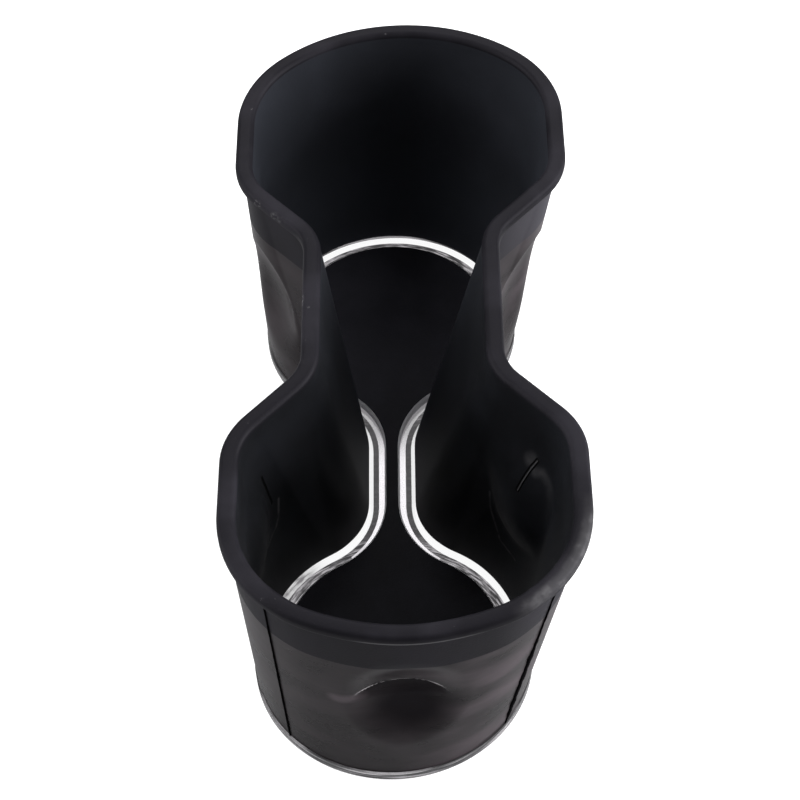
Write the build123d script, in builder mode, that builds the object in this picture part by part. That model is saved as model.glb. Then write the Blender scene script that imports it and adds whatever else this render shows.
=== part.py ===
from build123d import *
import os
from math import atan2, cos, degrees, radians, sin, tan

# Twin car cup holder insert: a rubber liner of two joined cups standing on a clear base tray,
# with a loose rubber mat on the tray floor.
# Millimetres, +Z up. The origin is under the middle of the rim, on the surface it stands on.

# Rim, at the outer edge of the lip: the corners round into flatter ends, and shoulders slant in to a waist
height = 86.0
rim_half_width = 48.0
rim_half_length = 111.0
rim_corner_ease = 12.0
rim_end_rise = 4.5
rim_shoulder_drop = 25.0
rim_shoulder_radius = 22.0
rim_waist_drop = 47.0
rim_waist_half_width = 27.5
rim_waist_radius = 13.0

# Foot of the wall: two nearly round cups joined by a narrow waist, set to one side of the rim
foot_half_width = 39.5
foot_half_length = 101.5
foot_corner_ease = 1.0
foot_end_rise = 0.4
foot_shoulder_drop = 25.1
foot_shoulder_radius = 38.5
foot_waist_drop = 42.1
foot_waist_half_width = 10.0
foot_waist_radius = 17.5
lean = 5.8

# Rubber wall and rolled lip
wall = 3.0
lip_overhang = 2.0
lip_thickness = 3.2
lip_top_bevel = 1.0
lip_under_bevel = 0.7
lip_inner_bevel = 1.2

# Grip bumps, ball-shaped hollows pressed in from outside at the shoulders and the front end
bump_level = 42.0
bump_depth = 4.5
bump_radius = 46.0
front_bump_angles = (28.0, 163.0, 270.0)
rear_bump_angles = (-27.0, 207.0)

# Flash fins left where the side slides of the mould met
flash_angle = 50.0
flash_width = 0.5
flash_proud = 0.6

# Clear base tray
tray_height = 3.6
tray_floor = 1.2
tray_proud = 0.4
tray_edge_bevel = 0.4
upstand_slope = 1.2

# Floor mat
mat_ledge = 3.5
mat_thickness = 2.7
mat_edge_bevel = 0.5

# Levels and places shared by the pieces
lip_underside = height - lip_thickness
wall_height = lip_underside - tray_height
cup_y = foot_half_length - (foot_half_width - foot_corner_ease + foot_end_rise)
cup_ends = (-1, 1)
middle_line = Vector(lean, 0, wall_height)


def twin_cup_outline(
    centre, inset, half_width, half_length, corner_ease, end_rise,
    shoulder_drop, shoulder_radius, waist_drop, waist_half_width, waist_radius,
):
    """Plan of two joined cups, made of arcs and lines that meet smoothly."""
    corner_radius = half_width - corner_ease
    end_depth = corner_radius + end_rise
    end_radius = (corner_ease ** 2 + end_depth ** 2 - corner_radius ** 2) / (2 * end_rise)
    arcs_meet = degrees(atan2(end_radius - end_depth, corner_ease))
    slant = atan2(half_width - waist_half_width, waist_drop - shoulder_drop)
    corner_shift = inset * tan(slant / 2)
    side_x = half_width - inset
    waist_x = waist_half_width - inset
    corner_y = half_length - end_depth
    with BuildSketch(Plane(centre)) as outline:
        with BuildLine():
            CenterArc((0, half_length - end_radius), end_radius - inset, 90, arcs_meet - 90)
            CenterArc((corner_ease, corner_y), corner_radius - inset, arcs_meet, -arcs_meet)
            FilletPolyline(
                (side_x, corner_y),
                (side_x, corner_y - shoulder_drop + corner_shift),
                (waist_x, corner_y - waist_drop + corner_shift),
                (waist_x, 0),
                radius=[shoulder_radius - inset, waist_radius + inset],
            )
            mirror(about=Plane.XZ)
            mirror(about=Plane.YZ)
        make_face()
    return outline.sketch


def rim_outline(level, inset):
    """Plan of the rim at a level, drawn inside the lip's outer edge."""
    return twin_cup_outline(
        (0, 0, level), inset, rim_half_width, rim_half_length, rim_corner_ease, rim_end_rise,
        rim_shoulder_drop, rim_shoulder_radius, rim_waist_drop, rim_waist_half_width, rim_waist_radius,
    )


def foot_outline(level, inset):
    """Plan of the foot at a level, drawn inside the outer face of the wall."""
    return twin_cup_outline(
        (-lean, 0, level), inset, foot_half_width, foot_half_length, foot_corner_ease, foot_end_rise,
        foot_shoulder_drop, foot_shoulder_radius, foot_waist_drop, foot_waist_half_width, foot_waist_radius,
    )


def bump_centre(skin, middle_y, angle):
    """Centre of the ball that presses one bump into a cup's wall, square to the wall's face."""
    cup_x = -lean * (lip_underside - bump_level) / wall_height
    outwards = (cos(radians(angle)), sin(radians(angle)), 0)
    point, normal = skin.find_intersection_points(Axis((cup_x, middle_y, bump_level), outwards))[-1]
    return point + normal * (bump_radius - bump_depth)


def parting_plane(end, side):
    """Plane through the leaning middle line of a cup, where two slides of the mould met."""
    outwards = Vector(1, 0, 0).rotate(Axis.Z, end * 90 + side * flash_angle)
    return Plane((-lean, end * cup_y, tray_height), x_dir=outwards, z_dir=outwards.cross(middle_line))


os.makedirs("parts", exist_ok=True)

# Rubber liner
with BuildPart() as body:
    loft([foot_outline(tray_height, 0), rim_outline(lip_underside, lip_overhang)])

bump_centres = [bump_centre(body.part, -cup_y, angle) for angle in front_bump_angles]
bump_centres += [bump_centre(body.part, cup_y, angle) for angle in rear_bump_angles]

with BuildPart() as cavity:
    loft([foot_outline(tray_height, wall), rim_outline(lip_underside, lip_overhang + wall)])
    extrude(rim_outline(lip_underside, lip_overhang + wall), amount=lip_thickness)
    with Locations(*bump_centres):
        Sphere(bump_radius + wall, mode=Mode.SUBTRACT)

parting_planes = [parting_plane(end, side) for end in cup_ends for side in (-1, 1)]
with BuildPart() as slide_gaps:
    with Locations(*parting_planes):
        Box(rim_half_length, middle_line.length, flash_width, align=(Align.MIN, Align.MIN, Align.CENTER))

with BuildPart() as flash:
    loft([foot_outline(tray_height, -flash_proud), rim_outline(lip_underside, lip_overhang - flash_proud)])
    add(slide_gaps.part, mode=Mode.INTERSECT)

with BuildPart() as liner:
    extrude(rim_outline(lip_underside, 0), amount=lip_thickness)
    chamfer(liner.edges().group_by(Axis.Z)[-1], lip_top_bevel)
    chamfer(liner.edges().group_by(Axis.Z)[0], lip_under_bevel)
    add(body.part)
    with Locations(*bump_centres):
        Sphere(bump_radius, mode=Mode.SUBTRACT)
    add(flash.part)
    add(cavity.part, mode=Mode.SUBTRACT)
    chamfer(liner.faces().sort_by(Axis.Z)[-1].inner_wires()[0].edges(), lip_inner_bevel)
liner.part.label = "rubber_liner"
export_step(liner.part, "parts/rubber_liner.step")

# Clear base tray
with BuildPart() as tray:
    extrude(foot_outline(0, -tray_proud), amount=tray_height)
    chamfer(tray.edges().group_by(Axis.Z)[0], tray_edge_bevel)
    loft(
        [foot_outline(tray_floor, wall + upstand_slope), foot_outline(tray_height, wall)],
        mode=Mode.SUBTRACT,
    )
tray.part.label = "clear_base_tray"
export_step(tray.part, "parts/clear_base_tray.step")

# Floor mat
with BuildPart() as mat:
    extrude(foot_outline(tray_floor, wall + upstand_slope + mat_ledge), amount=mat_thickness)
    chamfer(mat.faces().sort_by(Axis.Z)[-1].edges(), mat_edge_bevel)
mat.part.label = "floor_mat"
export_step(mat.part, "parts/floor_mat.step")
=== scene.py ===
from math import atan2, pi, radians, tan

import bpy
import numpy as np
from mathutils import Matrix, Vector


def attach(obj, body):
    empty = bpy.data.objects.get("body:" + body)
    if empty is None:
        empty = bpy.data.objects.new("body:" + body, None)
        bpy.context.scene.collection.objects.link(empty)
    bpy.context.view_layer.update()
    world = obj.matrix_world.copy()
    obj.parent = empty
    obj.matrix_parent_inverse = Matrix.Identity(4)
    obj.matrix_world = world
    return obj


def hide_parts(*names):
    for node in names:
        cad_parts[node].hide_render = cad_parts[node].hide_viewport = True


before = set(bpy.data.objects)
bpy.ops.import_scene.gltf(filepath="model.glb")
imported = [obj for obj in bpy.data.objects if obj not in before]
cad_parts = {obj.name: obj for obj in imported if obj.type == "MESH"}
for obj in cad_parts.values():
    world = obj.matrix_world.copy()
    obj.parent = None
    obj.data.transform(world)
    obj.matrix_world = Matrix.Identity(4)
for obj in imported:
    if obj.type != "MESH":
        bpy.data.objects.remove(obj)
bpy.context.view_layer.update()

# Clear base tray: the shallow foot that both cups stand in, seen inside as a bright ring round the mat.
# It is injection moulded in clear acrylic, and the liner is glued down on its raised edge.
# The edge slopes down to a streaky ledge round the mat, darkened by painted shade, with a clear line along
# the mat.
foot_shape = dict(
    half_width=0.0395, half_length=0.1015, corner_ease=0.001, end_rise=0.0004,
    shoulder_drop=0.0251, shoulder_radius=0.0385,
    waist_drop=0.0421, waist_half_width=0.010, waist_radius=0.0175,
)
foot_lean = 0.0058
cup_y = (
    foot_shape["half_length"] - foot_shape["half_width"] + foot_shape["corner_ease"] - foot_shape["end_rise"]
)
tray_height = 0.0036
tray_floor = 0.0012
tray_proud = 0.0004
tray_bevel = 0.0004
tray_groove_level = 0.0018
tray_groove = 0.0002
wall = 0.003
upstand_slope = 0.0012
# Width of the ledge round the mat that takes painted shade
shaded_ledge = 0.0017
misty_ledge = 0.0015
mat_line = 0.0008
waist_end = 0.024
end_points = 41
corner_points = 32
side_points = 14
shoulder_points = 35
slant_points = 11
waist_points = 13
middle_points = 8
sharp_edge = 35.0
clear_tint = (0.975, 0.980, 0.985, 1.0)
misty_tint = (0.590, 0.550, 0.600, 1.0)
# Grey of the painted shade on the outer band, the ledge round the mat and the rear of the waist ledge
painted_shade_grey = (0.060, 0.057, 0.062, 1.0)
# Painted shade on the slope at the left of the front cup
painted_slope_shade = (0.050, 0.045, 0.050, 1.0)
# A dark opaque layer, mixed into the acrylic as painted shade
painted_shade_black = (0.010, 0.010, 0.011, 1.0)
painted_shade_roughness = 0.4
acrylic_refraction = 1.49
ledge_gloss = 0.15
# Painted highlights on the outer band: the size of their clouds, which is also the cloud size of the waist
# ledge's roughness, and how far they are drawn out
acrylic_cloud = 0.004
highlight_draw = (0.25, 0.25, 5.0)
streak_size = 0.0007
streak_draw = 0.12
streak_fade = (waist_end - 0.004, waist_end + 0.002)
# Where the painted shade lies on the slope, across and along the part
painted_slope_shade_x = (-0.030, -0.022)
painted_slope_shade_y = (-0.036, -0.028)
# Where the painted shadow darkens the rear of the waist ledge
painted_shadow_y = (0.002, 0.019)


class Wire:
    """An output of a shader node. Sums with numbers and other wires add Math nodes."""

    def __init__(self, tree, socket=None):
        self.tree = tree
        self.socket = socket

    def node(self, kind, settings=None, inputs=None, output=0):
        """Add a node: its settings first, then the values or wires of its sockets."""
        node = self.tree.nodes.new(kind)
        for name, value in (settings or {}).items():
            setattr(node, name, value)
        for name, value in (inputs or {}).items():
            if isinstance(value, Wire):
                self.tree.links.new(value.socket, node.inputs[name])
            else:
                node.inputs[name].default_value = value
        return Wire(self.tree, node.outputs[output] if len(node.outputs) else None)

    def side(self, output):
        """Another output of the same node."""
        return Wire(self.tree, self.socket.node.outputs[output])

    def math(self, operation, *values):
        """A Math node on the values."""
        return self.node("ShaderNodeMath", {"operation": operation}, dict(enumerate(values)))

    def __add__(self, other):
        return self.math("ADD", self, other)

    def __radd__(self, other):
        return self.math("ADD", other, self)

    def __sub__(self, other):
        return self.math("SUBTRACT", self, other)

    def __rsub__(self, other):
        return self.math("SUBTRACT", other, self)

    def __mul__(self, other):
        return self.math("MULTIPLY", self, other)

    def __rmul__(self, other):
        return self.math("MULTIPLY", other, self)

    def rise(self, start, end):
        """A soft step from 0 at start to 1 at end."""
        return self.node(
            "ShaderNodeMapRange", {"interpolation_type": "SMOOTHSTEP"},
            {"Value": self, "From Min": start, "From Max": end},
        )

    def mix(self, first, second):
        """The first colour where this value is 0 and the second where it is 1."""
        return self.node("ShaderNodeMix", {"data_type": "RGBA"}, {0: self, 6: first, 7: second}, 2)

    def bump(self, depth, strength):
        """The way the surface faces, with this value as its relief."""
        return self.node("ShaderNodeBump", {}, {"Height": self, "Distance": depth, "Strength": strength})

    def vector(self, operation, other, output=0):
        """A Vector Math node on this vector and another."""
        return self.node("ShaderNodeVectorMath", {"operation": operation}, {0: self, 1: other}, output)

    def split(self):
        """The x, y and z of this vector."""
        parts = self.node("ShaderNodeSeparateXYZ", {}, {"Vector": self})
        return parts, parts.side("Y"), parts.side("Z")

    def line_gap(self, first, last):
        """How far this place is from the straight line between two points."""
        way = last - first
        start = self.vector("SUBTRACT", tuple(first))
        share = start.vector("DOT_PRODUCT", tuple(way / way.dot(way)), "Value")
        share = share.node("ShaderNodeClamp", {}, {"Value": share})
        foot = share.node("ShaderNodeVectorMath", {"operation": "SCALE"}, {0: tuple(way), "Scale": share})
        return start.vector("DISTANCE", foot, "Value")

    def noise(self, grain, detail=3.0, roughness=0.5):
        """Cloudy noise from 0 to 1 at this place, with lumps of about the grain's size."""
        return self.node(
            "ShaderNodeTexNoise", {},
            {"Vector": self, "Scale": 1.0 / grain, "Detail": detail, "Roughness": roughness},
        )


def new_finish(name):
    """A material with an empty shader tree, and the place on the piece, in metres."""
    finish = bpy.data.materials.new(name)
    finish.use_nodes = True
    finish.node_tree.nodes.clear()
    place = Wire(finish.node_tree).node("ShaderNodeTexCoord", output="Object")
    return finish, place


def end_finish(shader):
    """End the shader tree of a finish."""
    shader.node("ShaderNodeOutputMaterial", {}, {"Surface": shader})


def bend(middle_x, middle_y, radius, start, end, steps):
    """Points on an arc, each with the way it faces. A hollow arc has a negative radius."""
    facing = np.linspace(start, end, steps)
    out = np.column_stack((np.cos(facing), np.sin(facing)))
    return np.hstack((np.array((middle_x, middle_y)) + radius * out, out))


def run(first, last, steps):
    """Points between two points of a plan."""
    share = np.linspace(0.0, 1.0, steps + 2)[1:-1, None]
    return first + share * (last - first)


def twin_cup_plan(
    half_width, half_length, corner_ease, end_rise,
    shoulder_drop, shoulder_radius, waist_drop, waist_half_width, waist_radius,
):
    """Plan of two joined cups, clockwise from the rear end: places x, y and the way each one faces."""
    corner_radius = half_width - corner_ease
    end_depth = corner_radius + end_rise
    end_radius = (corner_ease ** 2 + end_depth ** 2 - corner_radius ** 2) / (2 * end_rise)
    arcs_meet = atan2(end_radius - end_depth, corner_ease)
    slant = atan2(half_width - waist_half_width, waist_drop - shoulder_drop)
    corner_y = half_length - end_depth
    shoulder_x = half_width - shoulder_radius
    shoulder_y = corner_y - shoulder_drop + shoulder_radius * tan(slant / 2)
    waist_x = waist_half_width + waist_radius
    waist_y = corner_y - waist_drop - waist_radius * tan(slant / 2)
    end = bend(0.0, half_length - end_radius, end_radius, pi / 2, arcs_meet, end_points)
    corner = bend(corner_ease, corner_y, corner_radius, arcs_meet, 0.0, corner_points)
    shoulder = bend(shoulder_x, shoulder_y, shoulder_radius, 0.0, -slant, shoulder_points)
    waist = bend(waist_x, waist_y, -waist_radius, -slant, 0.0, waist_points)
    middle = np.array([(waist_half_width, 0.0, 1.0, 0.0)])
    quarter = np.vstack((
        end[:-1], corner, run(corner[-1], shoulder[0], side_points),
        shoulder, run(shoulder[-1], waist[0], slant_points),
        waist, run(waist[-1], middle[0], middle_points), middle,
    ))
    right = np.vstack((quarter, quarter[-2::-1] * (1, -1, 1, -1)))
    return np.vstack((right, right[-2:0:-1] * (-1, 1, -1, 1)))


def ring(plan, inset, level, shift):
    """The plan drawn at a level, moved in from its edge and along x."""
    flat = plan[:, :2] - inset * plan[:, 2:]
    return np.column_stack((flat[:, 0] + shift, flat[:, 1], np.full(len(plan), level)))


def add_piece(name, corners, faces, *finishes):
    """A mesh in the scene, smooth but for its sharp edges, that rides with the part."""
    mesh = bpy.data.meshes.new(name)
    mesh.from_pydata([tuple(corner) for corner in corners], [], faces)
    mesh.shade_smooth()
    mesh.set_sharp_from_angle(angle=radians(sharp_edge))
    for finish in finishes:
        mesh.materials.append(finish)
    piece = bpy.data.objects.new(name, mesh)
    bpy.context.scene.collection.objects.link(piece)
    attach(piece, "root")
    return piece


def skin_between(low, high, count):
    """Faces between two rings of the same count, which look out where the rings go upwards."""
    return [
        (low * count + i, high * count + i, high * count + (i + 1) % count, low * count + (i + 1) % count)
        for i in range(count)
    ]


def cap(first, count, turned):
    """Faces that close a ring of a plan from side to side, looking up, or down if turned."""
    faces = []
    for i in range(count // 2):
        face = [first + (count - i) % count, first + count - i - 1, first + i + 1, first + i]
        face = list(dict.fromkeys(face))
        faces.append(face[::-1] if turned else face)
    return faces


foot_plan = twin_cup_plan(**foot_shape)
slope_foot = wall + upstand_slope
shaded_end = slope_foot + shaded_ledge
misty_end = shaded_end + misty_ledge
tray_profile = [
    (tray_bevel - tray_proud, 0.0), (-tray_proud, tray_bevel),
    (-tray_proud, tray_groove_level), (tray_groove - tray_proud, tray_groove_level + tray_groove),
    (-tray_proud, tray_groove_level + 2 * tray_groove), (-tray_proud, tray_height),
    (wall, tray_height), (slope_foot, tray_floor), (shaded_end, tray_floor), (misty_end, tray_floor),
    (misty_end + mat_line, tray_floor),
]
tray_rings = [ring(foot_plan, inset, level, -foot_lean) for inset, level in tray_profile]
tray_faces = []
for row in range(len(tray_rings) - 1):
    tray_faces += skin_between(row, row + 1, len(foot_plan))
tray_faces += cap(0, len(foot_plan), True)
tray_faces += cap((len(tray_rings) - 1) * len(foot_plan), len(foot_plan), False)


def acrylic(shade, first, second, roughness, painted_shade_share, gloss):
    """Clear acrylic, tinted between two colours, with a share of a dark opaque layer as painted shade."""
    clean = shade.node("ShaderNodeBsdfPrincipled", {}, {
        "Base Color": shade.mix(first, second),
        "Roughness": roughness,
        "IOR": acrylic_refraction,
        "Specular Tint": (gloss, gloss, gloss, 1.0),
        "Transmission Weight": 1.0,
    })
    painted_shade_layer = shade.node("ShaderNodeBsdfPrincipled", {}, {
        "Base Color": painted_shade_black, "Roughness": painted_shade_roughness, "Specular IOR Level": 0.5 * gloss,
    })
    return shade.node("ShaderNodeMixShader", {}, {0: painted_shade_share, 1: clean, 2: painted_shade_layer})


def ring_streaks(place):
    """Fine streaks that run round each cup, from 0 to 1."""
    x, y, _ = place.split()
    across = x + foot_lean
    past_middle = y.math("ABSOLUTE", y) - cup_y
    from_middle = place.math("SQRT", across * across + past_middle * past_middle)
    drawn_out = place.node("ShaderNodeCombineXYZ", {}, {
        "X": streak_draw * across, "Y": streak_draw * y, "Z": from_middle,
    })
    return drawn_out.noise(streak_size, 4.0, 0.6).rise(0.40, 0.68)


def clear_acrylic():
    """The slope and the line along the mat: clear, but with streaky painted shade at the left of the front
    cup.
    """
    finish, place = new_finish("clear_acrylic")
    x, y, _ = place.split()
    left_shoulder = (1.0 - x.rise(*painted_slope_shade_x)) * (1.0 - y.rise(*painted_slope_shade_y))
    shaded = left_shoulder * (0.55 + 0.45 * ring_streaks(place))
    end_finish(acrylic(
        shaded, clear_tint, painted_slope_shade, roughness=0.02 + 0.1 * shaded, painted_shade_share=0.0, gloss=1.0,
    ))
    return finish


def band_acrylic():
    """The band round the outside: darkened by painted shade, with painted highlights drawn out along it."""
    finish, place = new_finish("band_acrylic")
    painted_highlights = place.vector("MULTIPLY", highlight_draw).noise(acrylic_cloud, 4.0).rise(0.42, 0.70)
    end_finish(acrylic(
        1.0 - painted_highlights, misty_tint, painted_shade_grey,
        roughness=0.10 + 0.15 * painted_highlights, painted_shade_share=0.93 - 0.48 * painted_highlights, gloss=1.0,
    ))
    return finish


def shaded_acrylic():
    """The ledge round the mat: darkened by painted shade, with bright streaks in the cups that fade out at
    the waist.
    """
    finish, place = new_finish("shaded_acrylic")
    _, y, _ = place.split()
    past_waist = y.math("ABSOLUTE", y).rise(*streak_fade)
    streaks = ring_streaks(place) * (0.10 + 0.90 * past_waist)
    end_finish(acrylic(
        1.0 - streaks, misty_tint, painted_shade_grey,
        roughness=0.10 + 0.15 * streaks, painted_shade_share=0.80 - 0.45 * streaks, gloss=ledge_gloss,
    ))
    return finish


def misty_acrylic():
    """The inner ledge along the waist: misty, and darker towards the rear with painted shadow."""
    finish, place = new_finish("misty_acrylic")
    _, y, _ = place.split()
    end_finish(acrylic(
        y.rise(*painted_shadow_y), misty_tint, painted_shade_grey,
        roughness=0.05 + 0.15 * place.noise(acrylic_cloud), painted_shade_share=0.0, gloss=1.0,
    ))
    return finish


tray = add_piece(
    "clear_tray", np.vstack(tray_rings), tray_faces,
    clear_acrylic(), band_acrylic(), shaded_acrylic(), misty_acrylic(),
)
clear_face, band_face, shaded_face, misty_face = range(4)
in_waist = np.abs(foot_plan[:, 1]) < waist_end
tray_finish = np.full(len(tray_faces), clear_face)
for row, (inset, level) in enumerate(tray_profile[:-1]):
    stretch = slice(row * len(foot_plan), (row + 1) * len(foot_plan))
    if inset < wall:
        tray_finish[stretch] = band_face
    elif inset == slope_foot:
        tray_finish[stretch] = shaded_face
    elif inset == shaded_end:
        tray_finish[stretch] = np.where(in_waist, misty_face, shaded_face)
    elif inset == misty_end:
        tray_finish[stretch] = np.where(in_waist, misty_face, clear_face)
tray.data.polygons.foreach_set("material_index", tray_finish.tolist())
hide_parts("clear_base_tray")

# Floor mat: a loose pad that lies on the tray floor between the raised edges and quietens the cups.
# It is die-cut from matt black rubber sheet with a fine grain, and it only rests on the tray.
mat_black = (0.0075, 0.0074, 0.0095, 1.0)
mat_pale = (0.0285, 0.0282, 0.0360, 1.0)
# A painted highlight along the mat's cut edge
mat_edge_highlight = (0.500, 0.500, 0.520, 1.0)
mat_shine = 0.08
mat_grain = 0.0005
mat_grain_depth = 0.00015
mat_cloud = 0.012
# The mat grows paler over this stretch towards the rear
mat_paler_y = (0.0, 0.06)
edge_highlight_tilt = (0.75, 0.90)


def mat_rubber():
    """Black rubber sheet, dusty in clouds and paler towards the rear, with a painted highlight along its cut
    edge.
    """
    finish, place = new_finish("mat_rubber")
    _, y, _ = place.split()
    grain = place.noise(mat_grain, 2.0)
    cloud = place.noise(mat_cloud, 4.0)
    mat_paleness = 0.25 * cloud.rise(0.35, 0.75) + 0.15 * grain.rise(0.5, 0.8) + 0.6 * y.rise(*mat_paler_y)
    _, _, upwards = place.node("ShaderNodeNewGeometry", output="True Normal").split()
    painted_edge_highlight = 1.0 - upwards.rise(*edge_highlight_tilt)
    end_finish(place.node("ShaderNodeBsdfPrincipled", {}, {
        "Base Color": painted_edge_highlight.mix(mat_paleness.mix(mat_black, mat_pale), mat_edge_highlight),
        "Roughness": 0.62 + 0.2 * cloud,
        "Specular IOR Level": mat_shine,
        "Normal": grain.bump(mat_grain_depth, 0.6),
    }))
    return finish


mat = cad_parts["floor_mat"]
mat.data.materials.clear()
mat.data.materials.append(mat_rubber())

# Rubber liner: the two joined cups in one moulding, with a rolled lip and pressed-in grip bumps.
# It is black injection-moulded rubber, matt inside and on the collar and slick on the lower outside.
# Its wall goes in rings up the outside, over the lip and down the inside, with one thickness all through.
rim_shape = dict(
    half_width=0.048, half_length=0.111, corner_ease=0.012, end_rise=0.0045,
    shoulder_drop=0.025, shoulder_radius=0.022,
    waist_drop=0.047, waist_half_width=0.0275, waist_radius=0.013,
)
height = 0.086
lip_overhang = 0.002
lip_thickness = 0.0032
lip_under_round = 0.0007
lip_top_round = 0.0013
lip_inner_round = 0.0016
front_flat = 0.0013
front_flat_reach = 0.010
collar_level = 0.066
bumps_foot = 0.018
bumps_middle = 0.040
spot_turn = 0.3
cup_start = 0.02

# Each grip bump: its cup, angle about the cup in degrees, level, depth, and the way its crisp edge lies
front = -1
rear = 1
grip_bumps = (
    (front, 272.5, 0.0420, 0.0045, (0.0, 0.0)),
    (front, 31.0, 0.0430, 0.0045, (0.6, -0.8)),
    (front, 165.0, 0.0470, 0.0032, (-1.0, 0.0)),
    (rear, 207.0, 0.0390, 0.0045, (0.6, 0.8)),
    (rear, -27.0, 0.0340, 0.0045, (-0.6, 0.8)),
)
bump_radius = 0.046
bump_reach = 0.030
bump_crisp = 0.0003
bump_soft = 0.0026

# The arched fold over the front bump
fold_turn = 271.0
fold_level = 0.0393
fold_radius = 0.0145
fold_edge = 0.0006
fold_depth = 0.0014
fold_foot = 0.0470
fold_fade = 0.003

lip_underside = height - lip_thickness
rim_end = rim_shape["half_length"]


def soft_step(value, start, end):
    """A soft step from 0 at start to 1 at end, for arrays."""
    share = np.clip((value - start) / (end - start), 0.0, 1.0)
    return share * share * (3.0 - 2.0 * share)


rim_plan = twin_cup_plan(**rim_shape)
rim_plan[:, 1] += front_flat * soft_step(-rim_plan[:, 1], rim_end - front_flat_reach, rim_end)


def plain_wall(level):
    """The outer face of the wall at a level before the bumps are pressed in, and the way it faces."""
    share = (level - tray_height) / (lip_underside - tray_height)
    low = ring(foot_plan, 0.0, level, -foot_lean)
    high = ring(rim_plan, lip_overhang, level, 0.0)
    out = (1.0 - share) * foot_plan[:, 2:] + share * rim_plan[:, 2:]
    out /= np.linalg.norm(out, axis=1)[:, None]
    return (1.0 - share) * low + share * high, np.column_stack((out, np.zeros(len(out))))


def wall_spot(end, turn, level):
    """A point on the plain wall at an angle about a cup's leaning middle, and the way it faces."""
    points, out = plain_wall(level)
    middle_x = -foot_lean * (lip_underside - level) / (lip_underside - tray_height)
    away = np.arctan2(points[:, 1] - end * cup_y, points[:, 0] - middle_x) - radians(turn)
    away = (away + pi) % (2 * pi) - pi
    near = np.flatnonzero((np.abs(away) < spot_turn) & (end * points[:, 1] > cup_start))
    near = near[np.argsort(away[near])]
    mixed = np.hstack((points, out))[near]
    spot = np.array([np.interp(0.0, away[near], column) for column in mixed.T])
    return spot[:3], spot[3:]


def bump_press(points, out, end, turn, level, depth, crisp_way):
    """How far a ball presses the wall in. The edge is crisp to one side and soft on the other."""
    spot, facing = wall_spot(end, turn, level)
    middle = spot + facing * (bump_radius - depth)
    off = points - middle
    along = np.einsum("ij,ij->i", off, out)
    square = along ** 2 + bump_radius ** 2 - np.einsum("ij,ij->i", off, off)
    below = along + np.sqrt(np.maximum(square, 0.0))
    from_spot = points - spot
    across = from_spot @ np.array((-facing[1], facing[0], 0.0))
    up = from_spot[:, 2]
    towards = (crisp_way[0] * across + crisp_way[1] * up) / (np.hypot(across, up) + 1e-9)
    edge = bump_soft + (bump_crisp - bump_soft) * soft_step(towards, -0.1, 0.6)
    press = np.where(below > edge, below, np.maximum(below + edge, 0.0) ** 2 / (4.0 * edge))
    return np.where(np.linalg.norm(from_spot, axis=1) < bump_reach, press, 0.0)


def front_fold(points):
    """How far the wall folds in under the arched top edge of the front bump."""
    spot, facing = wall_spot(front, fold_turn, fold_level)
    off = points - spot
    across = off @ np.array((-facing[1], facing[0], 0.0))
    inside = 1.0 - soft_step(np.hypot(across, off[:, 2]), fold_radius - fold_edge, fold_radius)
    near = np.linalg.norm(off, axis=1) < bump_reach
    return fold_depth * inside * soft_step(points[:, 2], fold_foot - fold_fade, fold_foot + fold_fade) * near


def all_bumps(points, out):
    """How far the grip bumps and the front fold press the wall in."""
    return front_fold(points) + sum(bump_press(points, out, *bump) for bump in grip_bumps)


wall_levels = np.concatenate((
    np.linspace(tray_height, bumps_foot, 6, endpoint=False),
    np.linspace(bumps_foot, bumps_middle, 18, endpoint=False),
    np.linspace(bumps_middle, collar_level, 38, endpoint=False),
    np.linspace(collar_level, lip_underside, 9),
))
outside = []
inside = []
for level in wall_levels:
    points, out = plain_wall(level)
    pressed = points - all_bumps(points, out)[:, None] * out
    outside.append(pressed)
    inside.append(pressed - wall * out)

lip_profile = np.vstack((
    bend(lip_under_round, lip_underside + lip_under_round, lip_under_round, 1.5 * pi, pi, 5),
    bend(lip_top_round, height - lip_top_round, lip_top_round, pi, pi / 2, 6),
    bend(lip_overhang + wall - lip_inner_round, height - lip_inner_round, lip_inner_round, pi / 2, 0.0, 6),
))
lip = [ring(rim_plan, inset, level, 0.0) for inset, level in lip_profile[:, :2]]
liner_rings = outside + lip + inside[::-1]
liner_faces = []
for row in range(len(liner_rings)):
    liner_faces += skin_between(row, (row + 1) % len(liner_rings), len(rim_plan))

# Finishes of the rubber, all with a fine grain or film
matt_black = (0.0063, 0.0060, 0.0075, 1.0)
matt_bloom = (0.0134, 0.0127, 0.0158, 1.0)
# Painted light on the right of the collar
matt_lit_grey = (0.0450, 0.0430, 0.0510, 1.0)
matt_sheen = (0.92, 0.88, 1.0, 1.0)
matt_flat_share = 0.30
inner_black = (0.0053, 0.0056, 0.0066, 1.0)
inner_pale = (0.0285, 0.0310, 0.0390, 1.0)
# Pale nicks and scrapes, and painted highlights on the lip and inside the front cup
nick_and_highlight_grey = (0.0900, 0.0880, 0.0920, 1.0)
# Painted shade in the slits inside the front cup
slit_shade_black = (0.0010, 0.0010, 0.0010, 1.0)
slick_black = (0.0080, 0.0068, 0.0074, 1.0)
# Smears, and painted light where they gather at the front right
slick_smear_and_light = (0.0660, 0.0545, 0.0610, 1.0)
slick_sheen = (1.0, 0.89, 0.97, 1.0)
fold_glint = (0.4000, 0.3800, 0.3900, 1.0)
flat_roughness = 0.9
rubber_grain = 0.0006
rubber_grain_depth = 0.00006
bloom_cloud = 0.02
smear_cloud = 0.026
smear_draw = (1.0, 1.0, 2.4)
film_cloud = 0.009
film_depth = 0.0002


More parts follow.
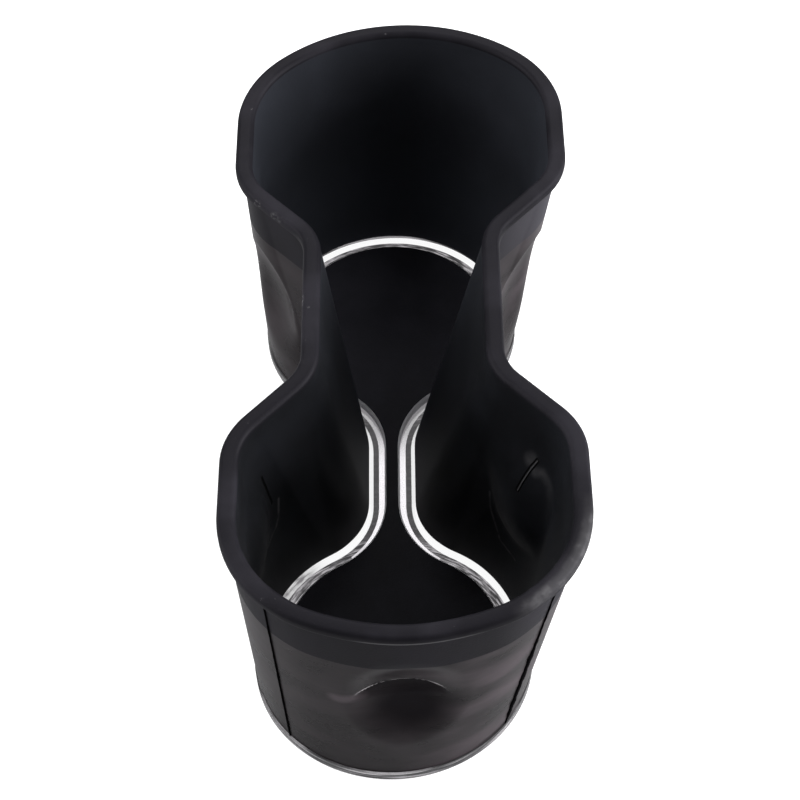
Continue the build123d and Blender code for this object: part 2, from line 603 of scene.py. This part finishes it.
def rubber(colour, roughness, shine, sheen, normal, flat_share):
    """Black rubber with a weak shine, and a share of it with none."""
    skin = colour.node("ShaderNodeBsdfPrincipled", {}, {
        "Base Color": colour, "Roughness": roughness, "Specular IOR Level": shine, "Specular Tint": sheen,
        "Normal": normal,
    })
    flat = colour.node("ShaderNodeBsdfPrincipled", {}, {
        "Base Color": colour, "Roughness": flat_roughness, "Specular IOR Level": 0.0, "Normal": normal,
    })
    return colour.node("ShaderNodeMixShader", {}, {0: flat_share, 1: skin, 2: flat})


# Wear of the matt lip and collar, with painted light at the right of the collar and painted highlights on
# the lip. Scrapes go from x, y to x, y along the lip
right_light_x = (0.020, 0.040)
right_light_y = (-0.03, 0.05)
right_light_fade = 0.001
nick_size = 0.0016
nick_patch = 0.025
nick_fade = 0.0005
scrape_level = 0.0845
scrape_width = (0.0004, 0.0016)
scrape_grain = 0.0009
lip_scrapes = (
    ((-0.0411, 0.0388), (-0.0405, 0.0383)), ((-0.0359, 0.0337), (-0.0306, 0.0292)),
    ((-0.0263, -0.0205), (-0.0268, -0.0225)), ((-0.0272, 0.0016), (-0.0272, -0.0006)),
    ((0.0262, 0.0177), (0.0258, 0.0140)), ((0.0350, -0.0965), (0.0380, -0.0922)),
)
# A painted highlight along the lip's outer edge at the front right corner
corner_highlight_inset = 0.0009
corner_highlight_drop = 0.0010
corner_highlight_width = (0.0003, 0.0026)
corner_highlight_x = (0.025, 0.036)
corner_highlight_y = (-0.082, -0.066)
corner_highlight_cloud = 0.0030
# A painted highlight along the lower edge of the lip at the front
lip_line_x = 0.003
lip_line_reach = (0.012, 0.018)
lip_line_y = (-0.111, -0.104)
lip_line_foot = (0.0832, 0.0834)
lip_line_top = (0.0836, 0.0839)


def corner_highlight(place):
    """A painted highlight along the lip's outer edge at the front right corner, broken up by noise."""
    x, y, z = place.split()
    corner_radius = rim_shape["half_width"] - rim_shape["corner_ease"]
    across = x - rim_shape["corner_ease"]
    along = y + (rim_end - corner_radius - rim_shape["end_rise"])
    from_edge = place.math("SQRT", across * across + along * along) - (corner_radius - corner_highlight_inset)
    painted_corner_highlight = 1.0 - place.math("ABSOLUTE", from_edge).rise(*corner_highlight_width)
    painted_corner_highlight = painted_corner_highlight * z.rise(lip_underside, height - corner_highlight_drop)
    painted_corner_highlight = painted_corner_highlight * x.rise(*corner_highlight_x) * (1.0 - y.rise(*corner_highlight_y))
    return painted_corner_highlight * (0.30 + 0.35 * place.noise(corner_highlight_cloud, 3.0).rise(0.40, 0.70))


def lip_line(place):
    """A painted highlight along the lower edge of the lip at the middle of the front end."""
    x, y, z = place.split()
    line = z.rise(*lip_line_foot) * (1.0 - z.rise(*lip_line_top))
    line = line * (1.0 - y.rise(*lip_line_y))
    return line * (1.0 - x.math("ABSOLUTE", x - lip_line_x).rise(*lip_line_reach))


def matt_rubber():
    """The lip and collar: matt, with painted light at the right of the collar, nicked and scraped on the
    lip, and painted highlights along the lip.
    """
    finish, place = new_finish("matt_rubber")
    x, y, z = place.split()
    grain = place.noise(rubber_grain, 2.0)
    paleness = place.noise(bloom_cloud, 4.0).rise(0.4, 0.75)
    # Painted light on the right of the collar, stronger towards the rear
    painted_right_light = x.rise(*right_light_x) * (0.25 + 0.30 * y.rise(*right_light_y))
    painted_right_light = painted_right_light * (1.0 - z.rise(lip_underside - right_light_fade, lip_underside))
    nicks = place.noise(nick_size, 4.0, 0.6).rise(0.70, 0.74) * place.noise(nick_patch).rise(0.52, 0.60)
    pale = nicks * z.rise(lip_underside, lip_underside + nick_fade)
    for first, last in lip_scrapes:
        gap = place.line_gap(np.array((*first, scrape_level)), np.array((*last, scrape_level)))
        scrape = (1.0 - gap.rise(*scrape_width)) * place.noise(scrape_grain, 3.0).rise(0.46, 0.62)
        pale = place.math("MAXIMUM", pale, scrape)
    pale = place.math("MAXIMUM", pale, corner_highlight(place))
    pale = place.math("MAXIMUM", pale, lip_line(place))
    end_finish(rubber(
        pale.mix(painted_right_light.mix(paleness.mix(matt_black, matt_bloom), matt_lit_grey), nick_and_highlight_grey),
        roughness=0.46 + 0.12 * paleness, shine=0.06, sheen=matt_sheen,
        normal=grain.bump(rubber_grain_depth, 0.6), flat_share=matt_flat_share,
    ))
    return finish


# Slits and creases inside the front cup, the slits with painted shade and the creases, a spot and a ridge
# with painted highlights, from spot to spot: the angle in degrees and the level
right_slit = ((30.8, 0.0554), (30.1, 0.0601), (29.5, 0.0641), (28.5, 0.0673))
left_slit = ((153.0, 0.0640), (151.0, 0.0565), (149.0, 0.0490))
right_crease = (
    (48.5, 0.0400), (46.6, 0.0326), (44.4, 0.0289), (39.6, 0.0221), (34.8, 0.0211), (28.6, 0.0207),
)
left_crease = ((145.0, 0.0482), (146.0, 0.0402), (148.0, 0.0370), (155.0, 0.0333), (162.0, 0.0362))
# A spot beside the slit and a ridge on the right bump, both with painted highlights
highlight_spot = ((32.2, 0.0658), (31.2, 0.0668))
bump_ridge = ((27.0, 0.0640), (23.6, 0.0655), (17.9, 0.0634), (14.0, 0.0592), (12.5, 0.0540))
slit_middle = (0.0001, 0.0003)
slit_inner = (0.0001, 0.0004)
slit_outer = (0.0006, 0.0009)
slit_depth = 0.0006
left_slit_width = (0.0002, 0.0005)
crease_width = (0.0001, 0.0006)
highlight_spot_width = (0.0002, 0.0030)
ridge_width = (0.0002, 0.0024)
ridge_y = (-0.0550, -0.0430)
inner_paler_y = (-0.02, 0.05)
inner_paler_z = (0.010, 0.050)
highlight_break_cloud = 0.003


def inner_spot(turn, level):
    """A point on the inside of the front cup's wall, on its bumps too."""
    spot, facing = wall_spot(front, turn, level)
    return spot - (wall + all_bumps(spot[None], facing[None])[0]) * facing


def crease_gap(place, spots):
    """How far a place is from a crease that goes from spot to spot inside the front cup."""
    points = [inner_spot(turn, level) for turn, level in spots]
    gaps = [place.line_gap(first, last) for first, last in zip(points, points[1:])]
    nearest = gaps[0]
    for gap in gaps[1:]:
        nearest = place.math("MINIMUM", nearest, gap)
    return nearest


def inner_rubber():
    """The inside: matt, paler low in the rear cup, and in the front one slits of painted shade and painted
    highlights on creases, a spot and a ridge.
    """
    finish, place = new_finish("inner_rubber")
    _, y, z = place.split()
    grain = place.noise(rubber_grain, 2.0)
    highlight_break = place.noise(highlight_break_cloud, 4.0, 0.6)
    paleness = 0.12 * place.noise(bloom_cloud, 4.0).rise(0.4, 0.75)
    paleness = paleness + y.rise(*inner_paler_y) * (1.00 - 0.65 * z.rise(*inner_paler_z))

    # The right slit has painted shade along both sides of a painted highlight in its middle, and the left
    # one painted shade all over
    slit = crease_gap(place, right_slit)
    slit_sides = slit.rise(*slit_inner) * (1.0 - slit.rise(*slit_outer))
    slit_shade = place.math("MAXIMUM", slit_sides, 1.0 - crease_gap(place, left_slit).rise(*left_slit_width))

    # The creases, the spot beside the slit and the ridge of the right bump get painted highlights, broken up
    # by noise
    crease = place.math("MINIMUM", crease_gap(place, right_crease), crease_gap(place, left_crease))
    crease_highlights = 1.0 - crease.rise(*crease_width)
    spot_highlight = 1.0 - crease_gap(place, highlight_spot).rise(*highlight_spot_width)
    ridge_highlight = (1.0 - crease_gap(place, bump_ridge).rise(*ridge_width)) * y.rise(*ridge_y)
    pale = place.math("MAXIMUM", crease_highlights * highlight_break.rise(0.25, 0.60) * 0.35, 0.4 * spot_highlight * highlight_break)
    pale = place.math("MAXIMUM", pale, 0.4 * ridge_highlight * highlight_break)
    pale = place.math("MAXIMUM", pale, (1.0 - slit.rise(*slit_middle)) * 0.5)
    end_finish(rubber(
        slit_shade.mix(pale.mix(paleness.mix(inner_black, inner_pale), nick_and_highlight_grey), slit_shade_black),
        roughness=0.46 + 0.12 * paleness, shine=0.07, sheen=matt_sheen,
        normal=(0.1 * grain - slit_shade).bump(slit_depth, 0.6), flat_share=matt_flat_share,
    ))
    return finish


# Smears on the slick skin, more of them at the front right where they also stand in for painted light, a
# paler streak at the left end of the fold, a painted highlight along the fold's edge, and painted shade
# under the fold and in the bowl of the front bump
smear_and_light_x = (-0.010, 0.025)
smear_and_light_front_y = (-0.090, -0.055)
smear_rear_y = (0.0, 0.05)
pale_streak_from = (247.0, 0.0455)
pale_streak_to = (257.0, 0.0458)
pale_streak_width = (0.0005, 0.0040)
bowl_spot = (274.0, 0.0392)
bowl_fade = (0.0060, 0.0160)
arch_line_width = (0.0001, 0.0006)
arch_shade = (fold_radius - 0.0010, fold_radius - 0.0003)
arch_shade_foot = fold_foot - 0.001


def slick_rubber():
    """The lower outside: slick and smeared, with painted light at the front right, painted shade in the
    front bump and a painted highlight along its fold.
    """
    finish, place = new_finish("slick_rubber")
    x, y, z = place.split()
    stretched = place.vector("MULTIPLY", smear_draw)
    film = stretched.noise(film_cloud, 4.0, 0.6)
    ripple = film.bump(film_depth, 0.15)

    # Smears where it was handled, heavier at the front right where they also stand in for painted light, and
    # one paler streak at the left end of the fold
    smear_and_light_share = (0.25 + 0.75 * x.rise(*smear_and_light_x)) * (1.0 - 0.70 * y.rise(*smear_and_light_front_y))
    smear_and_light_share = smear_and_light_share + 0.22 * y.rise(*smear_rear_y)
    smears_and_light = stretched.noise(smear_cloud, 4.0, 0.50).rise(0.32, 0.74) * smear_and_light_share
    pale_streak_start, _ = wall_spot(front, *pale_streak_from)
    pale_streak_end, _ = wall_spot(front, *pale_streak_to)
    pale_streak = 1.0 - place.line_gap(pale_streak_start, pale_streak_end).rise(*pale_streak_width)
    smears_and_light = place.math("MAXIMUM", smears_and_light, pale_streak * film.rise(0.20, 0.60))

    # A painted highlight along the fold's edge, and painted shade, darker and less glossy, under it and in
    # the bowl
    arch, _ = wall_spot(front, fold_turn, fold_level)
    from_arch = place.vector("DISTANCE", tuple(arch), "Value")
    arch_line = 1.0 - place.math("ABSOLUTE", from_arch - fold_radius).rise(*arch_line_width)
    arch_line = arch_line * z.rise(fold_foot, fold_foot + fold_fade)
    in_fold = 1.0 - from_arch.rise(*arch_shade)
    in_fold = in_fold * z.rise(arch_shade_foot, fold_foot + fold_fade)
    bowl, _ = wall_spot(front, *bowl_spot)
    in_bowl = 1.0 - place.vector("DISTANCE", tuple(bowl), "Value").rise(*bowl_fade)
    glossy_skin = rubber(
        arch_line.mix((smears_and_light * (0.5 + 0.5 * film)).mix(slick_black, slick_smear_and_light), fold_glint),
        roughness=0.24 + 0.14 * smears_and_light + 0.06 * film, shine=0.09, sheen=slick_sheen,
        normal=ripple, flat_share=0.34,
    )
    shaded_skin = rubber(
        film.mix(slick_black, matt_black),
        roughness=0.36 + 0.1 * film, shine=0.02, sheen=slick_sheen, normal=ripple, flat_share=0.80,
    )
    shade = place.math("MAXIMUM", 0.92 * in_bowl, 0.8 * in_fold)
    end_finish(place.node("ShaderNodeMixShader", {}, {0: shade, 1: glossy_skin, 2: shaded_skin}))
    return finish


liner = add_piece(
    "liner", np.vstack(liner_rings), liner_faces, matt_rubber(), slick_rubber(), inner_rubber(),
)
matt_face, slick_face, inner_face = range(3)
slick_rows = np.count_nonzero(wall_levels < collar_level - 1e-6)
liner_finish = np.full(len(liner_rings), matt_face)
liner_finish[:slick_rows] = slick_face
liner_finish[len(outside) + len(lip) - 1:] = inner_face
liner.data.polygons.foreach_set("material_index", np.repeat(liner_finish, len(rim_plan)).tolist())
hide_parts("rubber_liner")

# Flash fins: thin ragged skins of rubber that squeezed out where the side slides of the mould met.
# They are moulded with the liner and stand on its wall from the foot up to the lip, two on each cup.
flash_rows = 150
flash_smooth = 5
flash_root = 0.0004
flash_proud = 0.0005
flash_thin = 0.00042
flash_taper = 0.6
torn_width = 5.0
# The fins are near-black as painted shade
flash_shade_black = (0.0030, 0.0029, 0.0032, 1.0)
flash_grain = 0.001

flash_rubber, place = new_finish("flash_rubber")
end_finish(place.node("ShaderNodeBsdfPrincipled", {}, {
    "Base Color": flash_shade_black,
    "Roughness": 0.70 + 0.2 * place.noise(flash_grain),
    "Specular IOR Level": 0.0,
}))


def flash_fin(end, turn, torn, seed):
    """Corners and faces of one fin. A torn fin is wider and more ragged about its middle."""
    chance = np.random.default_rng(seed)
    share = np.linspace(0.0, 1.0, flash_rows)
    rough = chance.uniform(-1.0, 1.0, flash_rows + flash_smooth - 1)
    ragged = np.convolve(rough, np.full(flash_smooth, 1.0 / flash_smooth), "valid")
    middle = soft_step(share, 0.0, 0.15) * (1.0 - soft_step(share, 0.35, 0.80))
    widths = flash_thin * (1.0 + 0.3 * ragged + torn * middle * torn_width * (1.0 + ragged))
    heights = flash_proud * np.clip(0.8 + 0.2 * ragged, 0.3, 1.0)
    levels = tray_height + (lip_underside - tray_height) * share
    corners = []
    for level, width, rise in zip(levels, widths, heights):
        spot, facing = wall_spot(end, turn, level)
        across = np.array((-facing[1], facing[0], 0.0)) * width / 2
        root = spot - flash_root * facing
        edge = spot + rise * facing
        corners += [root - across, edge - flash_taper * across, edge + flash_taper * across, root + across]
    last = 4 * flash_rows - 1
    faces = [(0, 1, 2, 3), (last, last - 1, last - 2, last - 3)]
    for row in range(flash_rows - 1):
        faces += [
            (4 * row + side, 4 * row + 4 + side, 4 * row + 4 + (side + 1) % 4, 4 * row + (side + 1) % 4)
            for side in range(4)
        ]
    return corners, faces


for name, end, turn, torn, seed in (
    ("flash_front_left", front, 222.5, 0.0, 3), ("flash_front_right", front, 322.0, 1.0, 5),
    ("flash_rear_left", rear, 140.0, 0.0, 7), ("flash_rear_right", rear, 40.0, 0.0, 9),
):
    fin = add_piece(name, *flash_fin(end, turn, torn, seed), flash_rubber)
    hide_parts("rubber_liner")

# Studio table: a plain white sweep under the part, with an even white room round it.
# It touches the tray's underside closely, shows white through the clear tray and keeps the part's shadow.
table_size = 2.4
table_touch = 0.00005
table_white = (0.50, 0.50, 0.51, 1.0)
table_lift = 0.67
sky_level = 0.21
pure_white = (1.0, 1.0, 1.0, 1.0)

bpy.ops.mesh.primitive_plane_add(size=table_size, location=(0, 0, table_touch))
table = bpy.context.object
table.name = "studio_table"
white_sweep, place = new_finish("white_sweep")
ray = place.node("ShaderNodeLightPath", output="Is Camera Ray")
sheet = place.node("ShaderNodeBsdfDiffuse", {}, {"Color": table_white})
glow = place.node("ShaderNodeEmission", {}, {"Color": pure_white, "Strength": table_lift})
white = place.node("ShaderNodeEmission", {}, {"Color": pure_white, "Strength": 1.0})
lifted = place.node("ShaderNodeAddShader", {}, {0: sheet, 1: glow})
seen = place.node("ShaderNodeMixShader", {}, {0: ray, 1: sheet, 2: lifted})
end_finish(place.node("ShaderNodeMixShader", {}, {0: ray.side("Is Transmission Ray"), 1: seen, 2: white}))
table.data.materials.append(white_sweep)

studio = bpy.data.worlds.new("studio")
bpy.context.scene.world = studio
studio.use_nodes = True
studio.node_tree.nodes.clear()
air = Wire(studio.node_tree)
ray = air.node("ShaderNodeLightPath", output="Is Camera Ray")
straight = ray.math("MAXIMUM", ray, ray.side("Is Transmission Ray"))
room = air.node("ShaderNodeBackground", {}, {"Color": pure_white, "Strength": sky_level})
white = air.node("ShaderNodeBackground", {}, {"Color": pure_white, "Strength": 1.0})
sky = air.node("ShaderNodeMixShader", {}, {0: straight, 1: room, 2: white})
air.node("ShaderNodeOutputWorld", {}, {"Surface": sky})

# Softboxes: two large ones at the sides, two low ones under them and one over the far end.
# They leave the middle of the far walls dark and light the walls that face across.


def softbox(name, place, width, length, power):
    """A large soft lamp that points at the part."""
    lamp = bpy.data.lights.new(name, "AREA")
    lamp.shape = "RECTANGLE"
    lamp.size = width
    lamp.size_y = length
    lamp.energy = power
    holder = bpy.data.objects.new(name, lamp)
    holder.location = place
    holder.rotation_euler = (-Vector(place)).to_track_quat("-Z", "Y").to_euler()
    bpy.context.scene.collection.objects.link(holder)


softbox("left_softbox", (-0.85, 0.10, 0.85), width=0.6, length=0.9, power=12.0)
softbox("right_softbox", (0.85, 0.10, 0.85), width=0.6, length=0.9, power=15.0)
softbox("low_left_softbox", (-0.95, -0.10, 0.30), width=1.0, length=0.4, power=8.0)
softbox("low_right_softbox", (0.95, -0.10, 0.30), width=1.0, length=0.4, power=20.0)
softbox("overhead_softbox", (0.0, 0.85, 0.90), width=0.9, length=0.6, power=9.0)

# Camera: it stands in front of the part and looks down on it at a steep slant.
# The lens is long, so the part stays nearly square to the picture.
camera_place = (0.01195, -0.38061, 0.52517)
camera_turn = (38.103, 2.052, -0.502)
camera_lens = 95.21
camera_sensor = 36.0
camera = bpy.data.objects.new("camera", bpy.data.cameras.new("camera"))
camera.data.sensor_width = camera_sensor
camera.data.lens = camera_lens
camera.location = camera_place
camera.rotation_euler = [radians(angle) for angle in camera_turn]
bpy.context.scene.collection.objects.link(camera)
bpy.context.scene.camera = camera
bpy.context.scene.view_settings.view_transform = "Standard"
